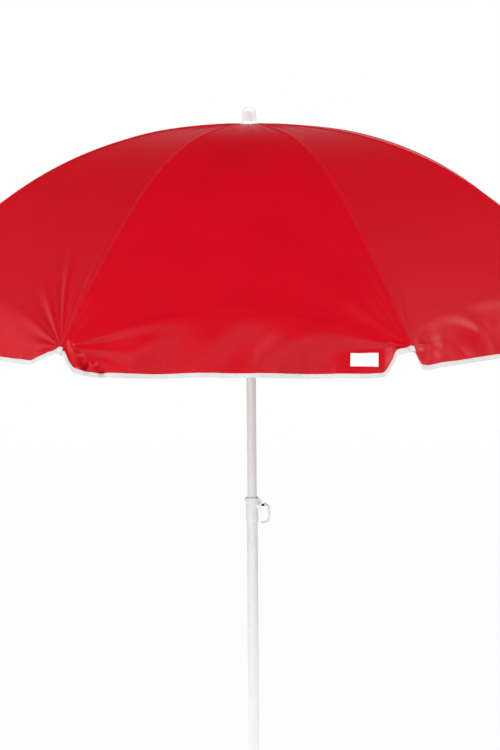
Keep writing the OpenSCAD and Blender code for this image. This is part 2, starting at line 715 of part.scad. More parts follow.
// Point of the hanging edge: v runs from 0 at the fold to 1 at the bottom of the hem
function hanging(c, v, off) =
    let (s = fold_s(c), h = hang_height(c), a = rib_slope(s),
        c0 = cot(a), c1 = c0 + (cot(hang_angle) - c0) * hem_ease(c),
        reach = h * (c1 * v + (c0 - c1) * (1 - exp(-crease_rate * v)) / crease_rate),
        lean = atan(1 / (c1 + (c0 - c1) * exp(-crease_rate * v))),
        out = reach + off * sin(lean) - off * sin(a), face = sign(c) * half_panel * hem_ease(c),
        p = stretched(c, s, off))
    p + [out * cos(face), out * sin(face), off * (cos(lean) - cos(a)) - h * v];
// The outermost columns stop short of the middle of the panel
function short_of_middle(c, p) =
    abs(c) < last_col ? p
    : p - edge_gap * [-sin(half_panel), sign(c) * cos(half_panel), 0];

function cloth_col(c, off) =
    let (s0 = cloth_in_r - rod_start.x, s1 = fold_s(c))
    [for (u = main_rows) short_of_middle(c, stretched(c, s0 + (s1 - s0) * u, off)),
     for (v = hang_rows) short_of_middle(c, hanging(c, v * (hem_v(c) - tape_gap / hang_height(c)), off))];
hem_rows = [0, 1];
function hem_col(c, off) =
    [for (u = hem_rows) short_of_middle(c, hanging(c, hem_v(c) + (1 - hem_v(c)) * u, off))];

// Closed shell between an outer and an inner grid of points, given as lists of columns
module shell(outer, inner) {
    n = len(outer);
    m = len(outer[0]);
    points = concat([for (col = outer) each col], [for (col = inner) each col]);
    function at(i, j) = i * m + j;
    function back(i, j) = n * m + i * m + j;
    function quad(a, b, c, d) = [[a, b, c], [a, c, d]];
    faces = concat(
        [for (i = [0 : n - 2], j = [0 : m - 2])
            each quad(at(i, j), at(i + 1, j), at(i + 1, j + 1), at(i, j + 1))],
        [for (i = [0 : n - 2], j = [0 : m - 2])
            each quad(back(i, j), back(i, j + 1), back(i + 1, j + 1), back(i + 1, j))],
        [for (i = [0 : n - 2]) each quad(at(i, 0), back(i, 0), back(i + 1, 0), at(i + 1, 0))],
        [for (i = [0 : n - 2]) each quad(at(i, m - 1), at(i + 1, m - 1), back(i + 1, m - 1), back(i, m - 1))],
        [for (j = [0 : m - 2]) each quad(at(0, j), at(0, j + 1), back(0, j + 1), back(0, j))],
        [for (j = [0 : m - 2])
            each quad(at(n - 1, j), back(n - 1, j), back(n - 1, j + 1), at(n - 1, j + 1))]);
    polyhedron(points, faces, convexity = 6);
}

module canopy(k) {
    color(red_cloth) at_rib(k) shell(
        [for (c = columns) cloth_col(c, cloth_under + cloth_t)],
        [for (c = columns) cloth_col(c, cloth_under)]);
}

module hem(k) {
    middle = cloth_under + cloth_t / 2;
    color(white_tape) at_rib(k) shell(
        [for (c = columns) hem_col(c, middle + hem_t / 2)],
        [for (c = columns) hem_col(c, middle - hem_t / 2)]);
}

lower_pole();
pole_spike();
pole_collar();
collar_rivet();
lock_nut();
lock_stud();
lock_ring();
pole_plug();
upper_pole();
crown();
crown_wire();
crown_rivet();
finial();
runner();
catch();
for (k = numbers) {
    rib(k);
    rib_fittings(k);
    stretcher(k);
    canopy(k);
    hem(k);
}
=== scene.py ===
import json
import math

import bpy
import numpy as np
from mathutils import Matrix


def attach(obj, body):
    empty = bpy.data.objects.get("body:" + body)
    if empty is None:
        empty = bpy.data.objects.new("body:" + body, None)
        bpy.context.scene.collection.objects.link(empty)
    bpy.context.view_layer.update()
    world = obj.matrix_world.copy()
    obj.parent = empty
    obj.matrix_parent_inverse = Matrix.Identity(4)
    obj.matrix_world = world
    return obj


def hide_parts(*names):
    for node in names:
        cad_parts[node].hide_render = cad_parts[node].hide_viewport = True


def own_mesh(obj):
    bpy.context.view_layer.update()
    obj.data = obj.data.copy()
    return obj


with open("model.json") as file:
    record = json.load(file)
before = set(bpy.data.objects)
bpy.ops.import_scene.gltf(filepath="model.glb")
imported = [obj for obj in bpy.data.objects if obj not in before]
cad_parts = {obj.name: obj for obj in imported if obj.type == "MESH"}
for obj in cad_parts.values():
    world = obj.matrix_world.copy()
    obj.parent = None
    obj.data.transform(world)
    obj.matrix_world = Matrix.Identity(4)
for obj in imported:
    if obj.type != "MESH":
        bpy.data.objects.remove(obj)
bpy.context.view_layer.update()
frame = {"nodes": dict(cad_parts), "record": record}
scene = bpy.context.scene
scene.view_settings.view_transform = "Standard"
print("frame loaded,", len(frame["nodes"]), "nodes")

# camera, fitted to the seams, rib ends and skyline of the photograph; angles in degrees
cameraView = {"place": (0.0, -5.0, 2.0654), "down": 7.77, "yaw": -0.03, "roll": -0.45,
              "focalPx": 2183, "tallPx": 750, "sensor": 36, "farEnd": 200}


def placedAt(place, right, up, back):
    # an object's matrix from its place and its three axes
    rows = np.column_stack([right, up, back, place])
    return Matrix([list(r) for r in rows] + [[0, 0, 0, 1]])


def makeCamera(c):
    # forward from yaw and pitch, then right and up turned by the roll
    down, yaw, roll = (math.radians(c[k]) for k in ("down", "yaw", "roll"))
    forward = np.array([math.sin(yaw) * math.cos(down), math.cos(yaw) * math.cos(down), -math.sin(down)])
    right = np.array([math.cos(yaw), -math.sin(yaw), 0.0])
    up = np.cross(right, forward)
    right, up = (math.cos(roll) * right + math.sin(roll) * up, math.cos(roll) * up - math.sin(roll) * right)
    data = bpy.data.cameras.new("studioCamera")
    data.sensor_width = c["sensor"]
    data.lens = c["focalPx"] * data.sensor_width / c["tallPx"]
    data.clip_end = c["farEnd"]
    cam = bpy.data.objects.new("studioCamera", data)
    scene.collection.objects.link(cam)
    cam.matrix_world = placedAt(np.array(c["place"]), right, up, -forward)
    scene.camera = cam


makeCamera(cameraView)

# studio: pale floor, white walls that darken towards the ceiling, soft lamps in front, low down and at both sides
studio = {"wall": 1.0, "ceiling": 0.05, "wallTop": 0.12, "ceilingFrom": 0.42, "aim": (0, 0, 1.65),
          "floorSize": 60, "floorHigh": -0.001, "floorPale": 0.93, "floorGlow": 0.93, "glowFrom": 2.5, "glowTo": 8.0}
# lamp: place, power, diameter
lamps = {"keyLamp": ((-2.4, -5.4, 4.0), 42, 1.6),
         "fillLamp": ((2.4, -5.4, 4.0), 38, 1.6),
         "frontLamp": ((0.0, -5.9, 4.1), 30, 1.6),
         "lowLamp": ((-0.9, -5.6, 0.9), 48, 2.0),
         "sideLamp": ((-3.9, -3.2, 0.9), 28, 1.6),
         "leftLamp": ((-5.4, -1.2, 6.2), 330, 2.4),
         "rightLamp": ((5.4, -1.2, 6.2), 376, 2.4)}


def nodeOf(tree, kind, inputs=(), **settings):
    # a shader node; an input is a value or a socket to link
    made = tree.nodes.new(kind)
    for k, v in settings.items():
        setattr(made, k, v)
    for k, v in dict(inputs).items():
        if isinstance(v, bpy.types.NodeSocket):
            tree.links.new(v, made.inputs[k])
        else:
            made.inputs[k].default_value = v
    return made


def mathOf(tree, operation, *inputs):
    # the result of one math node
    return nodeOf(tree, "ShaderNodeMath", dict(enumerate(inputs)), operation=operation).outputs[0]


def makeWorld(s):
    # the light falls from wall to ceiling strength with the height of the direction
    world = bpy.data.worlds.new("studioWalls")
    scene.world = world
    world.use_nodes = True
    tree = world.node_tree
    tree.nodes.clear()
    coord = nodeOf(tree, "ShaderNodeTexCoord")
    split = nodeOf(tree, "ShaderNodeSeparateXYZ", {0: coord.outputs["Generated"]})
    fade = nodeOf(tree, "ShaderNodeMapRange",
                  {"Value": split.outputs["Z"], "From Min": s["wallTop"], "From Max": s["ceilingFrom"],
                   "To Min": s["wall"], "To Max": s["ceiling"]}, interpolation_type="SMOOTHSTEP")
    back = nodeOf(tree, "ShaderNodeBackground", {"Color": (1, 1, 1, 1), "Strength": fade.outputs["Result"]})
    nodeOf(tree, "ShaderNodeOutputWorld", {"Surface": back.outputs[0]})


def makeLamp(name, place, power, size, aim):
    data = bpy.data.lights.new(name, "AREA")
    data.shape = "DISK"
    data.size = size
    data.energy = power
    lamp = bpy.data.objects.new(name, data)
    scene.collection.objects.link(lamp)
    back = np.array(place) - np.array(aim)
    back = back / np.linalg.norm(back)
    side = np.cross((0, 0, 1), back)
    side = side / np.linalg.norm(side)
    lamp.matrix_world = placedAt(place, side, np.cross(back, side), back)


def makeFloor(s):
    # seen directly or mirrored it is white; round the object a share of its lit colour keeps the shadow, and that
    # share fades to nothing with the distance
    mesh = bpy.data.meshes.new("floor")
    h, z = s["floorSize"] / 2, s["floorHigh"]
    mesh.from_pydata([(-h, -h, z), (h, -h, z), (h, h, z), (-h, h, z)], [], [(0, 1, 2, 3)])
    floor = bpy.data.objects.new("floor", mesh)
    scene.collection.objects.link(floor)
    mat = bpy.data.materials.new("paleFloor")
    mat.use_nodes = True
    tree = mat.node_tree
    tree.nodes.clear()
    ray = nodeOf(tree, "ShaderNodeLightPath")
    seen = mathOf(tree, "MAXIMUM", ray.outputs["Is Camera Ray"], ray.outputs["Is Glossy Ray"])
    seen = mathOf(tree, "MAXIMUM", seen, ray.outputs["Is Transmission Ray"])
    coord = nodeOf(tree, "ShaderNodeTexCoord")
    far = nodeOf(tree, "ShaderNodeVectorMath", {0: coord.outputs["Object"]}, operation="LENGTH")
    glowShare = nodeOf(tree, "ShaderNodeMapRange",
                       {"Value": far.outputs["Value"], "From Min": s["glowFrom"], "From Max": s["glowTo"],
                        "To Min": s["floorGlow"], "To Max": 1.0}, interpolation_type="SMOOTHSTEP")
    share = mathOf(tree, "MULTIPLY", seen, glowShare.outputs["Result"])
    lit = nodeOf(tree, "ShaderNodeBsdfDiffuse", {"Color": (*[s["floorPale"]] * 3, 1)})
    glow = nodeOf(tree, "ShaderNodeEmission", {"Color": (1, 1, 1, 1), "Strength": 1.0})
    mix = nodeOf(tree, "ShaderNodeMixShader", {0: share, 1: lit.outputs[0], 2: glow.outputs[0]})
    nodeOf(tree, "ShaderNodeOutputMaterial", {"Surface": mix.outputs[0]})
    mesh.materials.append(mat)


makeWorld(studio)
for lampName, lampValues in lamps.items():
    makeLamp(lampName, *lampValues, studio["aim"])
makeFloor(studio)
print("studio ready")


def finish(name, colour, roughness, metallic=0.0, level=0.5):
    # a plain finish, which the functions below add to
    mat = bpy.data.materials.new(name)
    mat.use_nodes = True
    tree = mat.node_tree
    bsdf = tree.nodes["Principled BSDF"]
    bsdf.inputs["Base Color"].default_value = (*colour, 1)
    bsdf.inputs["Roughness"].default_value = roughness
    bsdf.inputs["Metallic"].default_value = metallic
    bsdf.inputs["Specular IOR Level"].default_value = level
    mat.diffuse_color = (*colour, 1)
    return mat, tree, bsdf


def tinted(tree, bsdf, factor, dark, light):
    # base colour runs from dark to light with the factor
    ramp = nodeOf(tree, "ShaderNodeValToRGB", {"Fac": factor})
    ramp.color_ramp.elements[0].color = (*dark, 1)
    ramp.color_ramp.elements[1].color = (*light, 1)
    tree.links.new(ramp.outputs["Color"], bsdf.inputs["Base Color"])


def roughened(tree, bsdf, factor, least, most):
    # roughness runs from least to most with the factor
    rough = nodeOf(tree, "ShaderNodeMapRange", {"Value": factor, "To Min": least, "To Max": most})
    tree.links.new(rough.outputs["Result"], bsdf.inputs["Roughness"])


def bumped(tree, bsdf, height, strength, distance):
    bump = nodeOf(tree, "ShaderNodeBump", {"Height": height, "Strength": strength, "Distance": distance})
    tree.links.new(bump.outputs["Normal"], bsdf.inputs["Normal"])


def objectNoise(tree, scale, detail, stretch=(1, 1, 1)):
    coord = nodeOf(tree, "ShaderNodeTexCoord")
    place = nodeOf(tree, "ShaderNodeMapping", {"Vector": coord.outputs["Object"], "Scale": stretch})
    noise = nodeOf(tree, "ShaderNodeTexNoise",
                   {"Vector": place.outputs["Vector"], "Scale": scale, "Detail": detail})
    return noise.outputs["Fac"]


# noises are scale, detail and stretch; bumps are strength and distance
paint = {"dark": (0.70, 0.745, 0.745), "light": (0.775, 0.82, 0.82), "rough": 0.34, "lanes": (60, 4, (1, 1, 0.04)),
         "roughs": (0.28, 0.46), "peelOnPole": (900, 2), "peelOnRib": (1600, 2), "bump": (0.12, 0.0004)}
plastic = {"dark": (0.725, 0.775, 0.775), "light": (0.80, 0.85, 0.85), "rough": 0.42, "mottle": (35, 4),
           "grain": (1400, 2), "bump": (0.10, 0.0003)}
# the near-black tones are painted shade: they darken the lock stud so that it stands for the dark gap beside the
# collar's boss
steel = {"zinc": ((0.45, 0.46, 0.48), (0.68, 0.69, 0.71)), "nearBlackForShade": ((0.020, 0.020, 0.019), (0.055, 0.055, 0.050)),
         "rough": 0.32, "clouds": (160, 5), "scratches": (900, 3, (1, 1, 0.15)), "roughs": (0.22, 0.45),
         "bump": (0.08, 0.0002)}


def powderCoat(name, peel):
    # white enamel: faint orange peel, rubbed lanes along the pole
    mat, tree, bsdf = finish(name, paint["light"], paint["rough"])
    lanes = objectNoise(tree, *paint["lanes"])
    tinted(tree, bsdf, lanes, paint["dark"], paint["light"])
    roughened(tree, bsdf, lanes, *paint["roughs"])
    bumped(tree, bsdf, objectNoise(tree, *peel), *paint["bump"])
    return mat


def mouldedPlastic(name):
    # white moulding: soft mottling and a fine matt texture
    mat, tree, bsdf = finish(name, plastic["light"], plastic["rough"])
    tinted(tree, bsdf, objectNoise(tree, *plastic["mottle"]), plastic["dark"], plastic["light"])
    bumped(tree, bsdf, objectNoise(tree, *plastic["grain"]), *plastic["bump"])
    return mat


def cloudySteel(name, dark, light):
    # steel with a cloudy coat and fine scratches: plated for most parts, and near black for the lock stud as painted
    # shade for the dark gap beside the collar's boss
    mat, tree, bsdf = finish(name, light, steel["rough"], 1.0)
    tinted(tree, bsdf, objectNoise(tree, *steel["clouds"]), dark, light)
    scratch = objectNoise(tree, *steel["scratches"])
    roughened(tree, bsdf, scratch, *steel["roughs"])
    bumped(tree, bsdf, scratch, *steel["bump"])
    return mat


redWeave = {"dark": (0.43, 0.0003, 0.0055), "light": (0.51, 0.0006, 0.0078), "rough": 0.40, "level": 0.16,
            "thread": 0.0007, "clouds": (7, 5), "bump": (0.25, 0.00008)}
tapeWeave = {"dark": (0.54, 0.535, 0.53), "light": (0.66, 0.65, 0.645), "rough": 0.72, "level": 0.3,
             "thread": 0.0012, "clouds": (40, 4), "bump": (0.35, 0.00015)}
ribbon = {"colour": (0.86, 0.86, 0.855), "stitch": (0.54, 0.535, 0.53), "rough": 0.6, "level": 0.35,
          "thread": 0.0008, "bump": (0.3, 0.00012), "stitchIn": 0.0021, "stitchHalf": 0.0004,
          "stitchPitch": 0.0032, "stitchGap": -0.4, "stitchHigh": 3.0}


def threads(tree, pitch):
    # two sets of bands on the piece's own map in metres: the weave's height is their product
    uv = nodeOf(tree, "ShaderNodeUVMap", uv_map="clothMap")
    split = nodeOf(tree, "ShaderNodeSeparateXYZ", {0: uv.outputs["UV"]})
    bands = [mathOf(tree, "SINE", mathOf(tree, "MULTIPLY", split.outputs[axis], math.tau / pitch))
             for axis in ("X", "Y")]
    return split.outputs, mathOf(tree, "MULTIPLY", *bands)


def wovenCloth(name, c):
    # cloth or tape: a fine weave and soft clouds of colour
    mat, tree, bsdf = finish(name, c["light"], c["rough"], 0.0, c["level"])
    _, height = threads(tree, c["thread"])
    tinted(tree, bsdf, objectNoise(tree, *c["clouds"]), c["dark"], c["light"])
    bumped(tree, bsdf, height, *c["bump"])
    return mat


def labelRibbon(name, wide, tall, c):
    # blank woven ribbon: fine threads and a line of stitches just inside its border
    mat, tree, bsdf = finish(name, c["colour"], c["rough"], 0.0, c["level"])
    split, height = threads(tree, c["thread"])
    near = [mathOf(tree, "MINIMUM", mathOf(tree, "SUBTRACT", size, split[axis]), split[axis])
            for axis, size in (("X", wide), ("Y", tall))]
    line = mathOf(tree, "COMPARE", mathOf(tree, "MINIMUM", *near), c["stitchIn"], c["stitchHalf"])
    diagonal = mathOf(tree, "ADD", split["X"], split["Y"])
    beat = mathOf(tree, "SINE", mathOf(tree, "MULTIPLY", diagonal, math.tau / c["stitchPitch"]))
    stitch = mathOf(tree, "MULTIPLY", line, mathOf(tree, "GREATER_THAN", beat, c["stitchGap"]))
    tinted(tree, bsdf, stitch, c["colour"], c["stitch"])
    bumped(tree, bsdf, mathOf(tree, "MULTIPLY_ADD", stitch, c["stitchHigh"], height), *c["bump"])
    return mat


# blank patch on one panel: its sides by distance from the right rib, its rows by height above a straight level,
# which is a share of the panel's full drop
label = {"panel": 0, "fromRib": (0.1035, 0.0520), "above": (0.0490, 0.0228), "levelShare": 1.035,
         "thick": 0.0005, "lift": 0.0001, "cols": 49, "rows": 25}
polePaint = powderCoat("polePaint", paint["peelOnPole"])
ribPaint = powderCoat("ribPaint", paint["peelOnRib"])
whitePlastic = mouldedPlastic("whitePlastic")
platedSteel = cloudySteel("platedSteel", *steel["zinc"])
# near-black steel: painted shade for the dark gap beside the collar's boss
studShadeSteel = cloudySteel("studShadeSteel", *steel["nearBlackForShade"])
clothFinish = wovenCloth("redCloth", redWeave)
tapeFinish = wovenCloth("hemTape", tapeWeave)
labelFinish = labelRibbon("labelRibbon", label["fromRib"][0] - label["fromRib"][1],
                          label["above"][0] - label["above"][1], ribbon)

coatOf = {"pole_paint": polePaint, "rib_paint": ribPaint, "rib_fittings": whitePlastic,
          "white_plastic": whitePlastic, "bare_steel": platedSteel, "red_cloth": clothFinish, "hem_tape": tapeFinish}
for part in frame["record"]["subparts"]:
    mesh = frame["nodes"][part["node"]].data
    mesh.materials.clear()
    # the lock stud takes the near-black steel, which is painted shade for the gap beside the boss
    mesh.materials.append(studShadeSteel if part["node"] == "lock_stud" else coatOf[part["material_slot"]])
print("finishes ready")

# the rib's path in its own upright plane, in metres and degrees, as the part's source has it
ribPath = {"start": (0.022, 1.9555), "bends": ((0.182, 0, 8), (0.400, 8, 35), (0.400, 35, 43)),
           "azimuth": -114.6, "count": 8, "edge": 0.982}
panelTurn = math.tau / ribPath["count"]
ribTurn = [math.radians(ribPath["azimuth"]) + panelTurn * k for k in range(ribPath["count"])]


def ribLine(s):
    # arc length to (reach, height, slope): inside a bend the slope grows evenly, and the point is the
    # bend's start plus its radius times the change of the slope's sine and cosine
    x, z = ribPath["start"]
    reach, height, slope = x + s, z + 0 * s, 0 * s
    begun = 0.0
    for length, low, high in ribPath["bends"]:
        low, high = math.radians(low), math.radians(high)
        radius = length / (high - low)
        a = low + (high - low) * (s - begun) / length
        here = s >= begun
        reach = np.where(here, x + radius * (np.sin(a) - math.sin(low)), reach)
        height = np.where(here, z + radius * (np.cos(a) - math.cos(low)), height)
        slope = np.where(here, a, slope)
        x += radius * (math.sin(high) - math.sin(low))
        z += radius * (math.cos(high) - math.cos(low))
        begun += length
    return reach, height, slope


def smooth(u):
    # eased step from 0 to 1
    u = np.clip(u, 0, 1)
    return u * u * (3 - 2 * u)


# off: from the rib's line to the cloth's outside; inner: radius at the crown; foldMid and foldRib: how far in from
# the edge the cloth starts to hang; lower: the hem's bottom under a rib's end; hang: its slope in degrees; crease:
# sharpness of the fold; cut: gap between shares; keep: share of the width left when folded; the rest is seams and grid
canopy = {"off": 0.00385, "thick": 0.0008, "inner": 0.017, "foldMid": 0.103, "foldRib": 0.025, "lower": 0.007,
          "hang": 72, "hemHigh": 0.0076, "crease": 5.0, "cut": 0.000002, "keep": 0.50,
          "seamHigh": 0.0014, "seamWide": 0.0024, "seamReach": 0.01,
          "halfCols": 96, "evenCols": 0.45, "crowding": 1.5,
          "mainRows": (14, 26, 34), "mainStops": (0.0, 0.45, 0.80, 1.0), "flapRows": 34, "hemRows": 6}
# a rib's end at the cloth's edge, and the straight line from one to the next
edgeReach, tipHigh, tipSlope = (float(v) for v in ribLine(np.array(ribPath["edge"])))
edgeChord = 2 * edgeReach * math.sin(panelTurn / 2)

# how far the hem drops at distances from the rib: each panel's full drop, the plain corner as shares of it, and
# the corners that the photograph shows
panelDrop = (0.0510, 0.0390, 0.0450, 0.0480, 0.0420, 0.0470, 0.0440, 0.0370)
plainDrop = ((0, 0), (0.006, 0.07), (0.018, 0.40), (0.030, 0.70), (0.045, 0.87), (0.075, 0.97), (0.34, 1.0))
cornerDrops = {
    (0, "left"): ((0, 0), (0.003, 0.0050), (0.006, 0.0060), (0.010, 0.0068), (0.013, 0.0110), (0.017, 0.0290),
                  (0.021, 0.0370), (0.028, 0.0385), (0.036, 0.0410), (0.047, 0.0452), (0.060, 0.0470),
                  (0.080, 0.0475), (0.116, 0.0498), (0.170, 0.0515), (0.25, 0.0505), (0.34, 0.0510)),
    (0, "right"): ((0, 0), (0.006, 0.0012), (0.012, 0.0030), (0.020, 0.0034), (0.028, 0.0050), (0.033, 0.0080),
                   (0.036, 0.0240), (0.039, 0.0460), (0.046, 0.0488), (0.055, 0.0496), (0.066, 0.0512),
                   (0.080, 0.0518), (0.170, 0.0520), (0.25, 0.0511), (0.34, 0.0510)),
    (1, "left"): ((0, 0), (0.002, 0.0150), (0.004, 0.0250), (0.007, 0.0310), (0.011, 0.0345), (0.018, 0.0362),
                  (0.028, 0.0376), (0.036, 0.0386), (0.047, 0.0384), (0.066, 0.0378), (0.116, 0.0394),
                  (0.25, 0.0400), (0.34, 0.0390)),
    (7, "right"): ((0, 0), (0.006, 0.0010), (0.014, 0.0038), (0.028, 0.0110), (0.041, 0.0188), (0.055, 0.0246),
                   (0.066, 0.0292), (0.076, 0.0328), (0.116, 0.0334), (0.17, 0.0345), (0.25, 0.0363),
                   (0.34, 0.0370))}
# a corner's table is read from past the rib to past the panel's middle at this step, and softened over a width
softening = {"from": -0.05, "to": 0.40, "step": 0.0005, "wide": 0.002, "steps": 16}


def cornerDrop(panel, side, d):
    # the corner's table, read at a finer step and softened by a bell; mirrored about the rib so that it is 0 there
    table = np.array(cornerDrops.get((panel, side), [(x, y * panelDrop[panel]) for x, y in plainDrop]))
    c = softening
    fine = np.arange(c["from"], c["to"], c["step"])
    raw = np.sign(fine) * np.interp(np.abs(fine), table[:, 0], table[:, 1])
    bell = np.exp(-0.5 * (np.arange(-c["steps"], c["steps"] + 1) * c["step"] / c["wide"]) ** 2)
    padded = np.pad(raw, c["steps"], mode="edge")
    return np.interp(d, fine, np.convolve(padded, bell / bell.sum(), mode="valid"))


def hangOf(panel, t):
    # at each column: the fold's arc length and slope, the height that hangs below it, the share of that height
    # above the tape, and the drop's share of the panel's full drop
    left, right = cornerDrop(panel, "left", t * edgeChord), cornerDrop(panel, "right", (1 - t) * edgeChord)
    drop = np.where(t < 0.5, left, right)
    foldAt = ribPath["edge"] - canopy["foldRib"] - (canopy["foldMid"] - canopy["foldRib"]) * 4 * t * (1 - t)
    _, foldHigh, foldSlope = ribLine(foldAt)
    fall = foldHigh - (tipHigh - canopy["lower"] - drop)
    return foldAt, foldSlope, fall, 1 - canopy["hemHigh"] / fall, drop / panelDrop[panel]


def baseCloth(panel, t, w):
    # t runs from the left rib to the right one. w runs from 0 at the crown to 1 at the fold, 2 at the tape's top
    # and 3 at its bottom. Above the fold a point is on the straight line between the ribs' points at one arc
    # length. Below it the cloth hangs: its outward reach grows less and less per height, down to the hang slope.
    # Beside the points it gives the arc length, the height below the fold and the height above the hem.
    t, w = np.broadcast_arrays(t, w)
    left, right = ribTurn[panel], ribTurn[panel] + panelTurn
    foldAt, foldSlope, fall, hemV, ease = hangOf(panel, t)
    first = canopy["inner"] - ribPath["start"][0]
    s = first + (foldAt - first) * np.clip(w, 0, 1)
    reach, height, slope = ribLine(s)
    off = canopy["off"]
    out, up = reach + off * np.sin(slope), height + off * np.cos(slope)
    x = out * ((1 - t) * math.cos(left) + t * math.cos(right))
    y = out * ((1 - t) * math.sin(left) + t * math.sin(right))
    v = np.clip(w - 1, 0, 1) * hemV + np.clip(w - 2, 0, 1) * (1 - hemV)
    c0 = 1 / np.tan(foldSlope)
    c1 = c0 + (1 / math.tan(math.radians(canopy["hang"])) - c0) * ease
    k = canopy["crease"]
    grow = fall * (c1 * v + (c0 - c1) * (1 - np.exp(-k * v)) / k)
    lean = np.arctan(1 / (c1 + (c0 - c1) * np.exp(-k * v)))
    grow = grow + off * (np.sin(lean) - np.sin(foldSlope))
    face = np.where(t < 0.5, left + panelTurn / 2 * ease, right - panelTurn / 2 * ease)
    hung = w > 1
    x = x + np.where(hung, grow * np.cos(face), 0)
    y = y + np.where(hung, grow * np.sin(face), 0)
    z = up + np.where(hung, off * (np.cos(lean) - np.cos(foldSlope)) - fall * v, 0)
    return np.stack([x, y, z], -1), s, fall * v, fall * (1 - v)


def gridNormals(p):
    # outward normal from the differences along the rows and across the columns
    n = np.cross(np.gradient(p, axis=1), np.gradient(p, axis=0))
    return n / np.maximum(np.linalg.norm(n, axis=-1, keepdims=True), 1e-12)


# folds that run from a rib's end into the panel: angle from the rib and width in degrees, steepness, length
fans = {(7, "right"): ((5, 1.6, 0.60, 0.28), (12, 1.8, 0.50, 0.18), (22, 2.2, 0.85, 0.28), (36, 2.8, 0.80, 0.22),
                       (54, 3.8, 0.65, 0.18), (72, 4.6, 0.55, 0.12)),
        (0, "right"): ((9, 3.5, 0.32, 0.30), (29, 9.0, 0.28, 0.26), (63, 6.0, 0.46, 0.16)),
        (0, "left"): ((8, 2.4, 0.42, 0.18), (24, 6.0, 0.18, 0.22), (56, 4.0, 0.70, 0.24), (76, 4.5, 0.65, 0.15)),
        (1, "left"): ((7, 2.4, 0.35, 0.20), (17, 3.6, 0.30, 0.16), (72, 7.0, 0.38, 0.13))}
# the ranges of the other corners' folds, and a fold's form: valley's depth, place and width, and how it dies away
fanForm = {"count": 5, "angles": (4, 62), "widths": (1.8, 4.5), "steeps": (0.2, 0.5), "lengths": (0.12, 0.26),
           "valley": 0.55, "valleyAt": 1.7, "valleyWide": 1.1, "fade": 1.25, "fadePower": 3}
# soft lumps where the hem gathers: place across from the left rib, height above the hem, size, height
lumps = {0: ((0.023, 0.028, 0.0100, 0.0110), (0.037, 0.018, 0.0085, -0.0110), (0.051, 0.018, 0.0090, 0.0110),
             (0.066, 0.012, 0.0085, -0.0080), (0.160, 0.055, 0.0600, 0.0075), (0.330, 0.055, 0.0700, -0.0040),
             (0.500, 0.058, 0.0560, 0.0075), (0.580, 0.050, 0.0220, -0.0030), (0.612, 0.034, 0.0130, 0.0040)),
         1: ((0.028, 0.034, 0.0160, 0.0070), (0.066, 0.050, 0.0220, -0.0040))}
lumpEase = 0.01
# the other forms, drawn from a fixed seed; from and to give a place and the length over which a form comes in or goes
# out there, and an Ease is such a length alone
seed = 7
wave = {"count": 5, "high": 0.0032, "cycle": 6.283, "lengths": (0.10, 0.30), "tilts": (-9, 9), "phases": (0, 6.28),
        "shares": (0.5, 1.0), "fallEase": 0.06, "ribEase": 0.05}
pucker = {"gap": 0.045, "high": 0.0017, "spots": (0.1, 0.9), "sizes": (0.004, 0.010), "shares": (-1.2, 1.6),
          "talls": (0.012, 0.034), "above": 0.006, "fallEase": 0.03}
sideFold = {"panel": 0, "high": 0.0034, "beside": 0.050, "wide": 0.026, "from": (0.42, 0.2), "to": (0.95, 0.12)}
gather = {"high": 0.0019, "from": (0.005, 0.03), "range": 0.13, "count": 26, "sway": 2.0, "swayCount": 5}


def fanFolds(panel, side, p):
    # a fold is a ridge at one angle round the rib's end, with a shallow valley beside it; it widens and rises in
    # proportion to the distance from the end, and dies away along its length
    turn = ribTurn[panel] + (panelTurn if side == "right" else 0)
    ax = np.array([math.cos(turn), math.sin(turn), 0])
    tip = ax * edgeReach + np.array([0, 0, tipHigh + canopy["off"]])
    upRib = np.array([0, 0, math.sin(tipSlope)]) - ax * math.cos(tipSlope)
    rays = fans.get((panel, side))
    f = fanForm
    if rays is None:
        rng = np.random.default_rng(seed + 10 * panel + (side == "right"))
        n = f["count"]
        rays = np.column_stack([np.sort(rng.uniform(*f["angles"], n)), rng.uniform(*f["widths"], n),
                                rng.uniform(*f["steeps"], n), rng.uniform(*f["lengths"], n)])
    far = p - tip
    dist = np.linalg.norm(far, axis=-1)
    angle = np.degrees(np.arccos(np.clip(far @ upRib / np.maximum(dist, 1e-9), -1, 1)))
    total = np.zeros(dist.shape)
    for at, wide, steep, length in rays:
        u = (angle - at) / wide
        ridge = np.exp(-u * u) - f["valley"] * np.exp(-((u - f["valleyAt"]) / f["valleyWide"]) ** 2)
        fade = np.exp(-(dist / length * f["fade"]) ** f["fadePower"])
        total += steep * math.radians(wide) * dist * ridge * fade
    return total


def hemWaves(rng, across, hung):
    # sine waves of the hanging edge, each with its length, tilt, phase and share of the height
    total = 0
    for _ in range(wave["count"]):
        length, tilt, phase, share = (rng.uniform(*wave[k]) for k in ("lengths", "tilts", "phases", "shares"))
        total = total + wave["high"] * share * np.sin(wave["cycle"] * (across / length + tilt * hung) + phase)
    return total * smooth(hung / wave["fallEase"])


def hemPuckers(rng, across, hung, aboveHem):
    # short bells along the tape, one in each stretch of the hem, that die away upwards
    count = int(edgeChord / pucker["gap"])
    spots = (np.arange(count) + rng.uniform(*pucker["spots"], count)) * edgeChord / count
    sizes, shares, talls = (rng.uniform(*pucker[k], count) for k in ("sizes", "shares", "talls"))
    total = 0
    for spot, size, share, tall in zip(spots, sizes, shares, talls):
        bell = np.exp(-((across - spot) / size) ** 2) * np.exp(-np.maximum(aboveHem - pucker["above"], 0) / tall)
        total = total + pucker["high"] * share * bell
    return total * smooth(hung / pucker["fallEase"])


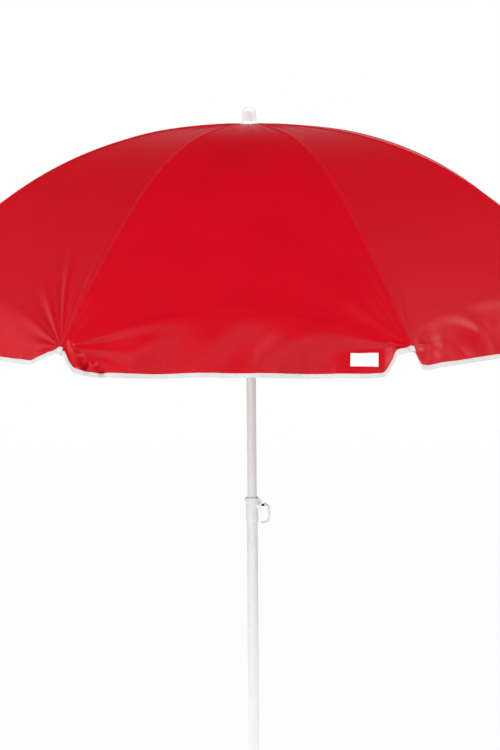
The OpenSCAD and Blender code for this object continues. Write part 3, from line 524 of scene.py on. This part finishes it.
def clothPoints(panel, t, w):
    # the base surface moved along its normal by folds, waves of the hanging edge, puckers, lumps, a soft fold
    # beside one rib, gathers round the crown and raised seams
    p, s, hung, aboveHem = baseCloth(panel, t, w)
    n = gridNormals(p)
    t, _ = np.broadcast_arrays(t, w)
    across = t * edgeChord
    nearRib = np.minimum(t, 1 - t)
    rng = np.random.default_rng(seed + 100 * panel)
    move = fanFolds(panel, "left", p) + fanFolds(panel, "right", p)
    move = move + hemWaves(rng, across, hung) * smooth(nearRib * edgeChord / wave["ribEase"])
    move = move + hemPuckers(rng, across, hung, aboveHem)
    for at, above, size, high in lumps.get(panel, ()):
        bell = np.exp(-((across - at) ** 2 + (aboveHem - above) ** 2) / size ** 2)
        move = move + high * bell * smooth(hung / lumpEase)
    if panel == sideFold["panel"]:
        beside = (1 - t) * edgeChord * np.clip(s / ribPath["edge"], 0, 1)
        (begin, beginEase), (end, endEase) = sideFold["from"], sideFold["to"]
        bell = np.exp(-((beside - sideFold["beside"]) / sideFold["wide"]) ** 2)
        move = move + sideFold["high"] * bell * smooth((s - begin) / beginEase) * smooth((end - s) / endEase)
    ringTurn = ribTurn[panel] + t * panelTurn
    begin, beginEase = gather["from"]
    crown = smooth((s - begin) / beginEase) * np.exp(-(s / gather["range"]) ** 2)
    sway = gather["sway"] * np.sin(gather["swayCount"] * ringTurn)
    move = move + gather["high"] * crown * np.sin(gather["count"] * ringTurn + sway)
    reach = np.maximum(np.hypot(p[..., 0], p[..., 1]), canopy["seamReach"])
    wide = nearRib * 2 * reach * math.sin(panelTurn / 2)
    move = move + canopy["seamHigh"] * np.exp(-(wide / canopy["seamWide"]) ** 2)
    return p + n * move[..., None]


def rowStops():
    # rows of the stretched part, of the hanging part and of the tape
    stops, rows = canopy["mainStops"], canopy["mainRows"]
    main = [np.linspace(stops[i], stops[i + 1], rows[i], endpoint=False) for i in range(len(rows))]
    flap = np.linspace(1, 2, canopy["flapRows"], endpoint=False)
    return np.concatenate(main + [flap, np.linspace(2, 3, canopy["hemRows"] + 1)])


def columnStops():
    # closer columns near the ribs, where the folds are
    x = np.linspace(0, 1, canopy["halfCols"] + 1)
    half = 0.5 * (canopy["evenCols"] * x + (1 - canopy["evenCols"]) * x ** canopy["crowding"])
    return np.concatenate([half, 1 - half[-2::-1]])


rowAt, colAt = rowStops(), columnStops()
panelGrids = [clothPoints(k, colAt[:, None], rowAt[None, :]) for k in range(ribPath["count"])]
panelNormals = [gridNormals(g) for g in panelGrids]
for k in range(ribPath["count"]):  # one normal on each seam
    a, b = panelNormals[k - 1], panelNormals[k]
    shared = a[-1] + b[0]
    shared = shared / np.linalg.norm(shared, axis=-1, keepdims=True)
    a[-1], b[0] = shared, shared
print("cloth surface", panelGrids[0].shape)


def addMesh(name, points, quads, uv, normals=None):
    # a smooth mesh of quads, with its own map in metres
    mesh = bpy.data.meshes.new(name)
    mesh.vertices.add(len(points))
    mesh.vertices.foreach_set("co", points.astype(np.float32).ravel())
    mesh.loops.add(quads.size)
    mesh.loops.foreach_set("vertex_index", quads.astype(np.int32).ravel())
    mesh.polygons.add(len(quads))
    mesh.polygons.foreach_set("loop_start", np.arange(0, quads.size, 4, dtype=np.int32))
    mesh.polygons.foreach_set("use_smooth", np.ones(len(quads), bool))
    mesh.update(calc_edges=True)
    layer = mesh.uv_layers.new(name="clothMap")
    layer.data.foreach_set("uv", uv[quads.ravel()].astype(np.float32).ravel())
    if normals is not None:
        mesh.normals_split_custom_set_from_vertices(normals.tolist())
    mesh.validate()
    made = bpy.data.objects.new(name, mesh)
    scene.collection.objects.link(made)
    return made


def gridQuads(cols, rows, first=0):
    # corner numbers of a grid's quads, facing out
    i, j = np.meshgrid(np.arange(cols - 1), np.arange(rows - 1), indexing="ij")
    a = first + i * rows + j
    return np.stack([a, a + 1, a + rows + 1, a + rows], -1).reshape(-1, 4)


def shellQuads(cols, rows):
    # an outer grid, the same grid turned round for the inner one, and a strip along each border
    out, back = gridQuads(cols, rows), gridQuads(cols, rows, cols * rows)[:, ::-1]
    n = cols * rows
    i, j = np.arange(cols - 1), np.arange(rows - 1)
    top, low = i * rows, i * rows + rows - 1
    first, last = j, (cols - 1) * rows + j
    strips = [np.stack([top, top + rows, top + rows + n, top + n], -1),
              np.stack([low, low + n, low + rows + n, low + rows], -1),
              np.stack([first, first + n, first + 1 + n, first + 1], -1),
              np.stack([last, last + 1, last + 1 + n, last + n], -1)]
    return np.concatenate([out, back] + strips)


def runAlong(points, axis):
    # distance covered so far along one direction of a grid
    steps = np.linalg.norm(np.diff(points, axis=axis), axis=-1)
    start = np.zeros_like(np.take(steps, [0], axis=axis))
    return np.concatenate([start, np.cumsum(steps, axis=axis)], axis=axis)


def shareOf(k, arrays):
    # the cloth of one rib: the right half of the panel before it and the left half of the one after it
    half = canopy["halfCols"]
    return np.concatenate([arrays[k - 1][half:-1], arrays[k][:half + 1]])


def ribFrame(k):
    # outward and sideways directions of one rib
    turn = ribTurn[k]
    return np.array([math.cos(turn), math.sin(turn), 0]), np.array([-math.sin(turn), math.cos(turn), 0])


def pulledApart(points, k):
    # the outermost columns stop just short of the middle of the panel
    made = points.copy()
    for col, sign in ((0, -1), (-1, 1)):
        turn = ribTurn[k] + sign * panelTurn / 2
        made[col] += sign * canopy["cut"] * np.array([math.sin(turn), -math.cos(turn), 0])
    return made


def rideRib(piece, k):
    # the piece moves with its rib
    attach(piece, f"rib_{k + 1}")
    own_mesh(piece)


# the tape binds the cloth, which ends inside it after a few of its rows
tape = {"wrap": 0.0004, "round": 5, "clothRows": 4}
hemFirst = len(rowAt) - canopy["hemRows"] - 1
clothRows = hemFirst + tape["clothRows"]


def makeCloth(k):
    # outside and inside of the cloth, a thickness apart along the normals
    points = pulledApart(shareOf(k, panelGrids)[:, :clothRows], k)
    normals = shareOf(k, panelNormals)[:, :clothRows]
    inner = points - normals * canopy["thick"]
    _, across = ribFrame(k)
    uv = np.stack([points @ across, runAlong(points, 1)], -1).reshape(-1, 2)
    flatNormals = normals.reshape(-1, 3)
    piece = addMesh(f"canopyCloth_{k + 1}", np.concatenate([points.reshape(-1, 3), inner.reshape(-1, 3)]),
                    shellQuads(*points.shape[:2]), np.concatenate([uv, uv]),
                    np.concatenate([flatNormals, -flatNormals]))
    piece.data.materials.append(clothFinish)
    a, b, c, d = points[:-1, :-1], points[1:, :-1], points[1:, 1:], points[:-1, 1:]
    twice = np.linalg.norm(np.cross(b - a, d - a), axis=-1) + np.linalg.norm(np.cross(b - c, d - c), axis=-1)
    return piece, float(twice.sum() / 2)


def makeTape(k):
    # the tape's outside, a round turn under the edge, and its inside, closed across the cloth at the top
    points = pulledApart(shareOf(k, panelGrids)[:, hemFirst:], k)
    normals = shareOf(k, panelNormals)[:, hemFirst:]
    low, lowNormal = points[:, -1:], normals[:, -1:]
    down = points[:, -1:] - points[:, -2:-1]
    down = down / np.linalg.norm(down, axis=-1, keepdims=True)
    half = canopy["thick"] / 2 + tape["wrap"]
    middle = low - lowNormal * canopy["thick"] / 2
    turn = np.linspace(0, math.pi, tape["round"] + 2)[1:-1][None, :, None]
    rounded = middle + half * (np.cos(turn) * lowNormal + np.sin(turn) * down)
    outside, inside = points + normals * tape["wrap"], points - normals * (canopy["thick"] + tape["wrap"])
    ring = np.concatenate([outside, rounded, inside[:, ::-1]], axis=1)
    cols, rows = ring.shape[:2]
    i, j = np.arange(cols - 1), np.arange((rows - 1) // 2)
    close = np.stack([i * rows + rows - 1, i * rows, (i + 1) * rows, (i + 1) * rows + rows - 1], -1)
    ends = []
    for base, flip in ((0, 1), ((cols - 1) * rows, -1)):
        strip = np.stack([base + j, base + rows - 1 - j, base + rows - 2 - j, base + j + 1], -1)
        ends.append(strip[:, ::flip])
    girth = runAlong(ring, 1)
    along = np.broadcast_to(runAlong(low[:, 0], 0)[:, None], girth.shape)
    uv = np.stack([along, girth], -1).reshape(-1, 2)
    quads = np.concatenate([gridQuads(cols, rows), close] + ends)
    piece = addMesh(f"hemTape_{k + 1}", ring.reshape(-1, 3), quads, uv)
    piece.data.materials.append(tapeFinish)
    return piece


# short tape over each rib's end, from one arc length to another
tab = {"from": 0.9815, "to": 0.996, "half": 0.0055, "lift": 0.0010, "thick": 0.0006, "arch": 0.0016,
       "cols": 11, "rows": 17}
borderShare = 0.45


def softShell(name, points, normals, high, uv, coat):
    # a thin closed shell on a grid: the outside is raised by high, and by a share of it at the border
    cols, rows = points.shape[:2]
    i, j = np.meshgrid(np.arange(cols), np.arange(rows), indexing="ij")
    border = (i == 0) | (i == cols - 1) | (j == 0) | (j == rows - 1)
    outer = points + normals * np.where(border, borderShare * high, high)[..., None]
    uv = uv.reshape(-1, 2)
    piece = addMesh(name, np.concatenate([outer.reshape(-1, 3), points.reshape(-1, 3)]), shellQuads(cols, rows),
                    np.concatenate([uv, uv]))
    piece.data.materials.append(coat)
    return piece


def makeLabel(c):
    # a rectangle of the panel's own surface, laid on it: the height above the hem is the height above the straight
    # level, less the hem's own height above that level
    d = np.linspace(*c["fromRib"], c["cols"])
    above = np.linspace(*c["above"], c["rows"])
    t = (1 - d / edgeChord)[:, None]
    _, _, fall, hemV, ease = hangOf(c["panel"], t)
    aboveHem = above[None, :] - panelDrop[c["panel"]] * (c["levelShare"] - ease)
    points = clothPoints(c["panel"], t, 1 + (1 - aboveHem / fall) / hemV)
    normals = gridNormals(points)
    uv = np.stack(np.broadcast_arrays((d[0] - d)[:, None], (above - above[-1])[None, :]), -1)
    return softShell("blankLabel", points + normals * c["lift"], normals, c["thick"], uv, labelFinish)


def makeTab(k, c):
    # a short tape along the rib's end, arched over the seam
    out, across = ribFrame(k)
    y = np.linspace(-c["half"], c["half"], c["cols"])[:, None]
    s = np.linspace(c["from"], c["to"], c["rows"])[None, :]
    reach, height, slope = ribLine(s)
    off = canopy["off"] + c["lift"] + canopy["seamHigh"] - c["arch"] * (y / c["half"]) ** 2
    flat = (reach + off * np.sin(slope))[..., None] * out + (y + 0 * s)[..., None] * across
    points = flat + (height + off * np.cos(slope))[..., None] * np.array([0, 0, 1])
    uv = np.stack(np.broadcast_arrays(y, s), -1)
    return softShell(f"tipTape_{k + 1}", points, gridNormals(points), c["thick"], uv, tapeFinish)


for k in range(ribPath["count"]):
    cloth, area = makeCloth(k)
    binding, tipTape = makeTape(k), makeTab(k, tab)
    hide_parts(f"canopy_{k + 1}")
    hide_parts(f"hem_{k + 1}")
    trims = [binding, tipTape]
    if k == label["panel"] + 1:
        trims.append(makeLabel(label))
    rideRib(cloth, k)
    for trim in trims:
        rideRib(trim, k)
print("cloth, tape, tabs and label made; one share is", round(area, 3), "square metres")
